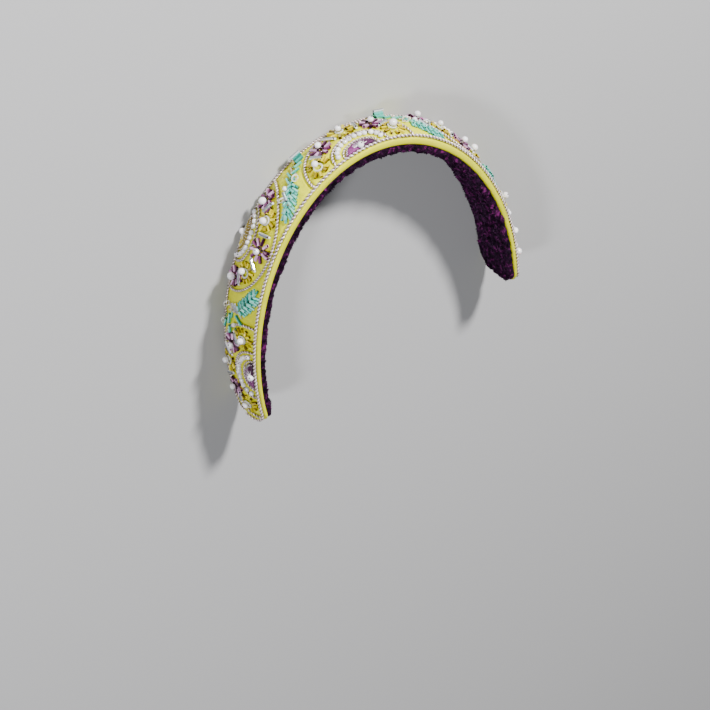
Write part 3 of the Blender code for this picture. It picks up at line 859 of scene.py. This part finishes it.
def addPearlRow(name, centre, edge):
    look = pearlRow
    rng = random.Random(look["seed"] + round(centre * 1000))
    route = evenRoute(ringRoute(centre, edge, "pearl_row"), 0.00025)
    bm = newBeadMesh()
    for bead in range(look["beads"]):
        along, across, _, _ = route[round((len(route) - 1) * (bead + 0.4) / (look["beads"] - 0.2))]
        size = look["size"] * rng.uniform(0.94, 1.08)
        lean = randomLean(rng, *look["lean"])
        spot = (along + rng.gauss(0, look["jitter"]), across + rng.gauss(0, look["jitter"]),
                look["lift"] + rng.uniform(0, 0.0002))
        matrix = Matrix.Translation(spot) @ lean @ Matrix.Diagonal((size, size, size * look["squash"], 1))
        stamp(bm, drilledPearl, matrix, rng.uniform(0.35, 0.9))
    layPiece("pearls_" + name, bm, "pearl", ["pearl_row_" + name], sharp=50.0)


for name, position, edge in panels["places"]:
    addPearlRow(name, position * panelPitch, edge)
print("pearl rows made")

halfMoon = {
    "rise": 0.0012, "ridges": 23, "ridgeRise": 0.0005, "rings": 9, "base": 0.0008, "skirt": -0.0002,
    "rimStitches": 16, "stitch": (0.0008, 0.00014), "stitchTilt": -0.45, "stitchStray": 0.15,
    "rays": 11, "rayReach": (0.0019, 0.0028), "rayLength": (0.0012, 0.0022), "rayThick": 0.00015,
    "rayStray": 0.08, "rayFlat": 0.75, "pearl": 0.0027, "seat": -0.0002, "lean": (0, 0.4),
    "seeds": 3, "seedSize": 0.0009, "seedRing": (0.0016, 0.0013), "seed": 31,
}


def moonPlace(centre, edge, angle, share):
    # Threads fan out from the middle of the straight side, which meets the edge cord.
    reach, depth = ringSizes(centre)["half_moon"]
    along = centre + reach * share * math.cos(angle)
    distance = (depth + halfMoon["base"]) * share * math.sin(angle) - halfMoon["base"]
    return along, fromEdge(along, distance, edge)


def addHalfMoon(name, centre, edge):
    # The padded fan of stitches, a ridge for each bundle of threads.
    look = halfMoon
    bm = newBeadMesh()
    tone = bm.verts.layers.float["tone"]
    bmesh.ops.create_grid(bm, x_segments=look["ridges"] * 4, y_segments=look["rings"], size=0.5)
    for vert in bm.verts:
        turn, share = vert.co.x + 0.5, vert.co.y + 0.5
        along, across = moonPlace(centre, edge, math.pi * turn, 0.05 + 0.95 * share)
        strand = 0.5 - 0.5 * math.cos(math.tau * turn * look["ridges"])
        dome = math.sqrt(1 - share ** 5) * (0.7 + 0.3 * math.sin(math.pi * turn))
        waver = 0.6 + 0.4 * noise.noise(Vector((turn * 60, share * 4, centre * 50)))
        lift = look["rise"] * dome + look["ridgeRise"] * strand * waver * (0.2 + share)
        vert.co = (along, across, lift)
        # The tone paints shade into the valleys between the ridges and a painted sheen that brightens the fan
        # from one end to the other; it also grows darker towards the rim.
        vert[tone] = 1.1 * strand ** 1.5 * waver + 0.5 * turn - 0.3 - 0.25 * max(share - 0.7, 0.0) / 0.3
    rim = [side for side in bm.edges if side.is_boundary]
    for item in bmesh.ops.extrude_edge_only(bm, edges=rim)["geom"]:
        if isinstance(item, bmesh.types.BMVert):
            item.co.z = look["skirt"]
    bmesh.ops.holes_fill(bm, edges=[side for side in bm.edges if side.is_boundary], sides=0)
    bmesh.ops.recalc_face_normals(bm, faces=bm.faces)
    silk = "orchidSilk" if edge == "front" else "strawSilk"
    layPiece("stitched_moon_" + name, bm, silk, ["half_moon_" + name], sharp=60.0)


def addMoonTrim(name, centre, edge):
    # White stitches round the rim, white rays round the pearl, and the pearl with its seeds.
    look = halfMoon
    rng = random.Random(look["seed"] + round(centre * 1000))
    stitches, beads = newBeadMesh(), newBeadMesh()
    length, thick = look["stitch"]
    for i in range(look["rimStitches"]):
        angle = math.pi * ((i + 0.5) / look["rimStitches"])
        along, across = moonPlace(centre, edge, angle, 0.9)
        inner = moonPlace(centre, edge, angle, 0.6)
        size = (length * rng.uniform(0.6, 1.3), thick, thick)
        turn = math.atan2(across - inner[1], along - inner[0]) + rng.gauss(0, look["stitchStray"])
        place = beadMatrix(along, across, look["rise"] * 0.85, turn, look["stitchTilt"], size)
        stamp(stitches, bugle, place, 0.8)
    seat = fromEdge(centre, look["seat"], edge)
    side = 1 if edge == "front" else -1
    for i in range(look["rays"]):
        angle = side * math.pi * (i + 0.5) / look["rays"] + rng.gauss(0, look["rayStray"])
        reach = rng.uniform(*look["rayReach"])
        spot = (centre + math.cos(angle) * reach, seat + math.sin(angle) * reach * look["rayFlat"])
        size = (rng.uniform(*look["rayLength"]), look["rayThick"], look["rayThick"])
        place = beadMatrix(*spot, look["rise"] + 0.0002, angle, -0.1, size)
        stamp(stitches, bugle, place, rng.uniform(0.5, 1))
    layPiece("moon_stitches_" + name, stitches, "whiteSilk")
    lean = randomLean(rng, look["lean"], look["lean"])
    place = Matrix.Translation((centre, seat, look["rise"] + look["pearl"] * 0.2))
    stamp(beads, drilledPearl, place @ lean @ Matrix.Scale(look["pearl"], 4), 0.8)
    wide, deep = look["seedRing"]
    for i in range(look["seeds"]):
        angle = side * math.pi * (i + 0.5) / look["seeds"]
        spot = (centre + wide * math.cos(angle), seat + deep * math.sin(angle))
        size = (look["seedSize"],) * 3
        stamp(beads, seed, beadMatrix(*spot, look["rise"] + 0.0003, size=size), rng.uniform(0.5, 0.9))
    layPiece("moon_pearl_" + name, beads, "pearl", sharp=50.0)


for name, position, edge in panels["places"]:
    addHalfMoon(name, position * panelPitch, edge)
    addMoonTrim(name, position * panelPitch, edge)
print("half-moons stitched")

flower = {
    "gold": {"petals": 11, "inner": 0.64, "outer": 1.20, "fill": 0.66, "tilt": 0.10, "tones": (0.45, 1.0)},
    "violet": {"petals": 10, "inner": 0.46, "outer": 1.12, "fill": 0.84, "tilt": 0.20, "tones": (0.2, 0.95)},
    "thickest": 0.0016, "petalTurn": 0.05, "petalTilt": 0.12, "petalTone": (-0.1, 0.12),
    "pearl": 0.0028, "pearlLift": 0.0026, "stray": 0.0006, "lean": (0, 0.5),
    "ring": 0.0042, "ringLift": 0.0012, "ringStray": 0.0003,
    "seeds": 6, "seedRing": 0.0012, "seedSize": 0.0012, "seedLift": 0.0007, "seed": 41,
}


def routeDistance(place, route):
    best = 1.0
    for a, b in zip(route, route[1:]):
        span = (b[0] - a[0], b[1] - a[1])
        length = span[0] ** 2 + span[1] ** 2
        share = ((place[0] - a[0]) * span[0] + (place[1] - a[1]) * span[1]) / length
        share = min(max(share, 0.0), 1.0)
        best = min(best, math.dist(place, (a[0] + span[0] * share, a[1] + span[1] * share)))
    return best


def flowerRadius(index, places, centre, edge):
    # The free space between the cords and the next flowers, as in the CAD model.
    place = places[index]
    room = abs(place[1] - fromEdge(place[0], -cords["panel"] / 2, edge))
    for cord in ("scallop", "panel"):
        route = ringRoute(centre, edge, cord + "_cord", 24)
        room = min(room, routeDistance(place, route) - cords[cord] / 2)
    for other in places[max(index - 1, 0):index] + places[index + 1:index + 2]:
        room = min(room, math.dist(place, other) / 2)
    return room * panels["flowerFill"]


def addFlower(name, place, radius, colour, rng):
    look = flower[colour]
    bm = newBeadMesh()
    start = rng.random() * math.tau
    spacing = math.tau * radius * (look["inner"] + look["outer"]) / 2 / look["petals"]
    for petal in range(look["petals"]):
        angle = start + math.tau * petal / look["petals"] + rng.gauss(0, flower["petalTurn"])
        inner = radius * look["inner"] * rng.uniform(0.92, 1.1)
        outer = radius * look["outer"] * rng.uniform(0.9, 1.06)
        reach = (inner + outer) / 2
        thick = min(spacing * look["fill"], flower["thickest"]) * rng.uniform(0.9, 1.08)
        spot = (place[0] + reach * math.cos(angle), place[1] + reach * math.sin(angle), thick * 0.52)
        tilt = rng.gauss(look["tilt"], flower["petalTilt"])
        stamp(bm, bugle, beadMatrix(*spot, angle, tilt, (outer - inner, thick, thick)),
              look["tones"][petal % 2] + rng.gauss(*flower["petalTone"]))
    layPiece("petals_" + name, bm, colour + "Glass", ["flower_" + name])


def addFlowerCentres(name, centres, rng):
    # The pearls of a panel's flowers, the glass rings of the gold ones and the dark seeds of the violet ones.
    look = flower
    pearls, rings, seeds = newBeadMesh(), newBeadMesh(), newBeadMesh()
    for (along, across), colour in centres:
        size = look["pearl"] * rng.uniform(0.88, 1.16)
        lean = randomLean(rng, look["lean"], look["lean"])
        spot = (along + rng.gauss(0, look["stray"]), across + rng.gauss(0, look["stray"]), look["pearlLift"])
        stamp(pearls, drilledPearl, Matrix.Translation(spot) @ lean @ Matrix.Scale(size, 4),
              rng.uniform(0.5, 0.95))
        if colour == "gold":
            size = (look["ring"] * rng.uniform(0.9, 1.05),) * 3
            spot = (along + rng.gauss(0, look["ringStray"]), across + rng.gauss(0, look["ringStray"]))
            stamp(rings, glassRing, beadMatrix(*spot, look["ringLift"], 0, rng.gauss(0, 0.12), size),
                  rng.uniform(0.4, 0.9))
            continue
        for i in range(look["seeds"]):
            angle = math.tau * i / look["seeds"]
            spot = (along + look["seedRing"] * math.cos(angle), across + look["seedRing"] * math.sin(angle))
            stamp(seeds, seed, beadMatrix(*spot, look["seedLift"], size=(look["seedSize"],) * 3),
                  rng.uniform(0.0, 0.25))
    layPiece("flower_pearls_" + name, pearls, "pearl", sharp=50.0)
    layPiece("glass_rings_" + name, rings, "clearGlass", sharp=50.0)
    layPiece("flower_seeds_" + name, seeds, "violetGlass", sharp=50.0)


silverBugles = {
    "angles": (33.5, 70, 110, 146.5), "paired": (33.5, 146.5), "between": (0.2, 0.85),
    "length": 0.0052, "thick": 0.0015, "lift": 0.0013, "turnStray": 0.2, "tiltStray": 0.08,
    "endGap": 0.0006, "endSize": 0.0013,
    "pairGap": 0.0015, "pairThick": 0.0013, "pairLift": 0.0011, "pairLength": 0.75, "pairTone": 0.12,
}


def addSilverBugles(name, centre, edge, rng):
    # Long silver-lined bugles between the flowers, each with a seed bead at both ends.
    look = silverBugles
    tubes, ends, maroon = newBeadMesh(), newBeadMesh(), newBeadMesh()
    for degrees in look["angles"]:
        angle = math.radians(degrees)
        inner, outer = (betweenCords(centre, edge, angle, share) for share in look["between"])
        middle = [(a + b) / 2 for a, b in zip(inner, outer)]
        turn = math.atan2(outer[1] - inner[1], outer[0] - inner[0]) + rng.gauss(0, look["turnStray"])
        length = min(look["length"] * rng.uniform(0.85, 1.15), math.dist(inner, outer) * 0.95)
        size = (length, look["thick"], look["thick"])
        tilt = rng.gauss(0, look["tiltStray"])
        stamp(tubes, glintSidedBugle, beadMatrix(*middle, look["lift"], turn, tilt, size), rng.uniform(0.55, 0.75))
        if edge == "back" and degrees in look["paired"]:
            shift = look["pairGap"] if degrees < 90 else -look["pairGap"]
            beside = (middle[0] + shift * math.sin(turn), middle[1] - shift * math.cos(turn))
            size = (length * look["pairLength"], look["pairThick"], look["pairThick"])
            stamp(maroon, bugle, beadMatrix(*beside, look["pairLift"], turn, 0.0, size), look["pairTone"])
        for side in (-1, 1):
            reach = side * (length / 2 + look["endGap"])
            spot = (middle[0] + reach * math.cos(turn), middle[1] + reach * math.sin(turn))
            stamp(ends, seed, beadMatrix(*spot, look["lift"] * 0.8, size=(look["endSize"],) * 3),
                  rng.uniform(0.3, 0.9))
    layPiece("silver_bugles_" + name, tubes, "silverGlass")
    layPiece("bugle_ends_" + name, ends, "pearl", sharp=50.0)
    if maroon.verts:
        layPiece("maroon_bugles_" + name, maroon, "violetGlass")


for name, position, edge in panels["places"]:
    centre = position * panelPitch
    rng = random.Random(flower["seed"] + position)
    places = [betweenCords(centre, edge, math.radians(degrees)) for degrees, _ in panels["flowers"]]
    centres = []
    for index, (_, main) in enumerate(panels["flowers"]):
        colour = panels["mainColour"][edge]
        if not main:
            colour = {"gold": "violet", "violet": "gold"}[colour]
        addFlower(f"{name}_{index + 1}", places[index], flowerRadius(index, places, centre, edge),
                  colour, rng)
        centres.append((places[index], colour))
    addFlowerCentres(name, centres, rng)
    addSilverBugles(name, centre, edge, rng)
print("flowers made")

spray = {
    "ends": (0.03, 0.92), "skew": 0.0045, "seed": 61,
    "seedSize": 0.0013, "seedLift": 0.0011, "pearlLift": 0.0014, "ring": 0.0033, "ringSeed": 0.0014,
    # the feather of leaves at the front: pairs, its ends on the stem, its bow to the front, leaf sizes
    "feather": {"pairs": 10, "start": 0.06, "end": 0.47, "bow": 0.0018, "short": 0.0028, "long": 0.0040,
                "thick": 0.00115, "layers": ((1.0, 0.00055), (0.55, 0.0013))},
    # glass, share along the stem, distance beside it, turn from it in degrees, length, thickness and lift
    "lower": [
        ("silver", 0.50, 0.0003, 78, 0.0042, 0.0012, 0.0015),
        ("silver", 0.56, -0.0006, 104, 0.0040, 0.0012, 0.0014),
        ("beige", 0.52, 0.0032, -84, 0.0036, 0.0009, 0.0006),
        ("aqua", 0.60, 0.0049, -82, 0.0047, 0.0014, 0.0009),
        ("beige", 0.68, -0.0014, 50, 0.0030, 0.0009, 0.0006),
        ("aqua", 0.72, 0.0010, 30, 0.0034, 0.0011, 0.0007),
        ("aqua", 0.84, 0.0016, 34, 0.0046, 0.0015, 0.0009),
        ("aqua", 0.97, 0.0052, 32, 0.0040, 0.0015, 0.0009),
        ("aqua", 0.95, 0.0018, 20, 0.0038, 0.0013, 0.0018),
    ],
    "upper": [
        ("silver", 0.29, -0.0008, -32, 0.0042, 0.0013, 0.0017),
        ("aqua", 0.53, 0.0013, 38, 0.0034, 0.0011, 0.0007),
        ("aqua", 0.54, -0.0013, -38, 0.0036, 0.0011, 0.0007),
        ("beige", 0.61, 0.0014, 44, 0.0032, 0.0010, 0.0007),
        ("aqua", 0.64, -0.0014, -42, 0.0036, 0.0012, 0.0008),
        ("aqua", 0.70, 0.0015, 48, 0.0036, 0.0012, 0.0008),
        ("beige", 0.74, -0.0013, -40, 0.0030, 0.0010, 0.0007),
        ("aqua", 0.81, 0.0016, 52, 0.0036, 0.0012, 0.0008),
        ("gold", 0.86, -0.0015, -48, 0.0034, 0.0012, 0.0008),
        ("aqua", 0.90, 0.0010, 30, 0.0038, 0.0016, 0.0009),
        ("aqua", 0.94, -0.0006, 30, 0.0040, 0.0016, 0.0009),
        ("aqua", 0.92, 0.0004, 30, 0.0040, 0.0016, 0.0022),
        ("silver", 0.92, 0.0002, 30, 0.0044, 0.0012, 0.0034),
    ],
    # glass, share and distance beside the stem
    "lowerSeeds": [("green", 0.77, 0.0071), ("beige", 0.62, 0.0006), ("green", 0.42, 0.0014),
                   ("beige", 0.72, -0.0011), ("beige", 0.66, -0.0026), ("green", 0.90, -0.0008),
                   ("green", 0.24, 0.0009)],
    "upperSeeds": [("green", 0.17, 0.0021), ("beige", 0.19, 0.0005), ("beige", 0.45, 0.0),
                   ("green", 0.57, 0.0), ("beige", 0.67, 0.0), ("green", 0.77, 0.0),
                   ("beige", 0.88, 0.0), ("green", 0.36, 0.0022)],
    # share, distance beside the stem, and size
    "lowerPearl": (0.75, 0.0054, 0.0019), "upperPearl": (0.42, -0.0016, 0.0020),
    "lowerRings": [(0.73, -0.0039), (0.98, 0.0003)], "upperRings": [(0.55, 0.0030), (0.25, -0.0022)],
}


def panelLimit(centre, edge, share, side):
    rise = share if edge == "front" else 1 - share
    return centre + side * panels["reach"] * math.sqrt(max(1 - rise ** 2, 0.0))


def sprayPlace(panel, neighbour, share):
    # Middle of the plain field between two panels, turned towards its free corners.
    side = 1 if neighbour[1] > panel[1] else -1
    first = panelLimit(panel[1] * panelPitch, panel[2], share, side)
    second = panelLimit(neighbour[1] * panelPitch, neighbour[2], share, -side)
    free = side if panel[2] == "front" else -side
    along = (first + second) / 2 + free * spray["skew"] * (1 - 2 * share)
    return along, fromEdge(along, share * fieldAt(along), "front")


def besideStem(panel, neighbour, share, beside):
    # Place beside the stem, from the front edge (share 0) to the back (share 1), and the stem's direction.
    low, high = spray["ends"]
    along, across = sprayPlace(panel, neighbour, low + (high - low) * share)
    ahead = sprayPlace(panel, neighbour, low + (high - low) * share + 0.02)
    aim = math.atan2(ahead[1] - across, ahead[0] - along)
    hand = 1 if panel[2] == "front" else -1
    return (along - hand * beside * math.sin(aim), across + hand * beside * math.cos(aim)), aim, hand


def addFeather(bm, panel, neighbour, rng):
    # Leaves in pairs that point to the front edge, with shorter ones on top of them.
    look = spray["feather"]
    for pair in range(look["pairs"] + 1):
        share = look["start"] + (look["end"] - look["start"]) * pair / look["pairs"]
        (along, across), aim, _ = besideStem(panel, neighbour, share, look["bow"] * share / look["end"])
        middle = math.sin(math.pi * min(0.2 + 0.7 * pair / look["pairs"], 1.0))
        for side in ((-1, 1) if pair else (0,)):
            length = look["short"] + (look["long"] - look["short"]) * middle * rng.uniform(0.7, 1.1)
            turn = aim + math.pi + side * math.radians(34 + 26 * pair / look["pairs"]) + rng.gauss(0, 0.06)
            for layer, (scale, lift) in enumerate(look["layers"]):
                if layer and pair % 2:
                    continue
                reach = (length * scale / 2 + 0.0004) * (1 if pair else 0.6)
                spot = (along + reach * math.cos(turn), across + reach * math.sin(turn))
                size = (length * scale, look["thick"], look["thick"])
                stamp(bm, bugle, beadMatrix(*spot, lift, turn, rng.gauss(0.0, 0.06), size),
                      (0.25 + 0.4 * ((pair + layer) % 2)) + rng.uniform(-0.15, 0.4))


def addSpray(name, panel, neighbour):
    look = spray
    rng = random.Random(look["seed"] + panel[1])
    kind = name.split("_")[1]
    meshes = {glass: newBeadMesh() for glass in ("aqua", "silver", "beige", "green", "gold", "pearl", "ring")}
    addFeather(meshes["aqua"], panel, neighbour, rng)
    for glass, share, beside, degrees, length, thick, lift in look[kind]:
        spot, aim, hand = besideStem(panel, neighbour, share, beside)
        turn = aim + hand * math.radians(degrees) + rng.gauss(0, 0.06)
        matrix = beadMatrix(*spot, lift, turn, rng.gauss(0, 0.05), (length, thick, thick))
        if glass == "silver":
            stamp(meshes[glass], glintSidedBugle, matrix, 0.62)
        else:
            stamp(meshes[glass], bugle, matrix, rng.uniform(0.3, 0.8))
    for glass, share, beside in look[kind + "Seeds"]:
        spot, _, _ = besideStem(panel, neighbour, share, beside)
        stamp(meshes[glass], seed, beadMatrix(*spot, look["seedLift"], size=(look["seedSize"],) * 3),
              rng.uniform(0.2, 0.8))
    share, beside, size = look[kind + "Pearl"]
    spot, _, _ = besideStem(panel, neighbour, share, beside)
    stamp(meshes["pearl"], drilledPearl,
          Matrix.Translation((*spot, look["pearlLift"])) @ Matrix.Scale(size, 4), 0.8)
    for share, beside in look[kind + "Rings"]:     # clear rings that stand on their edge
        spot, _, _ = besideStem(panel, neighbour, share, beside)
        stand = (Matrix.Translation((*spot, look["ring"] * 0.5))
                 @ (Matrix.Rotation(rng.uniform(-0.5, 0.5), 4, "Z")
                    @ Matrix.Rotation(math.pi / 2 + rng.gauss(0, 0.15), 4, "X")))
        stamp(meshes["ring"], glassRing, stand @ Matrix.Scale(look["ring"], 4), rng.uniform(0.5, 0.9))
        stamp(meshes["beige"], seed, beadMatrix(*spot, 0.0007, size=(look["ringSeed"],) * 3), 0.7)
    for glass, bm in meshes.items():
        if bm.verts:
            finish = {"pearl": "pearl", "ring": "clearGlass"}.get(glass, glass + "Glass")
            layPiece(f"spray_{glass}_{name}", bm, finish, ["leaf_spray_" + name] if glass == "aqua" else ())


for panel, neighbour in zip(panels["places"], panels["places"][1:]):
    outer = panel[0] if panel[1] < 0 else neighbour[0]
    inner = "lower" if outer.endswith("end") else "upper"
    addSpray(outer.split("_")[0] + "_" + inner, panel, neighbour)
print("leaf sprays made")


def addFloor():
    bm = bmesh.new()
    bmesh.ops.create_grid(bm, x_segments=4, y_segments=4, size=studio["floor"])
    mesh = bpy.data.meshes.new("floor")
    bm.to_mesh(mesh)
    bm.free()
    mesh.materials.append(finishes["paleFloor"])
    newObject("floor", mesh)


addFloor()
print("headband finished")
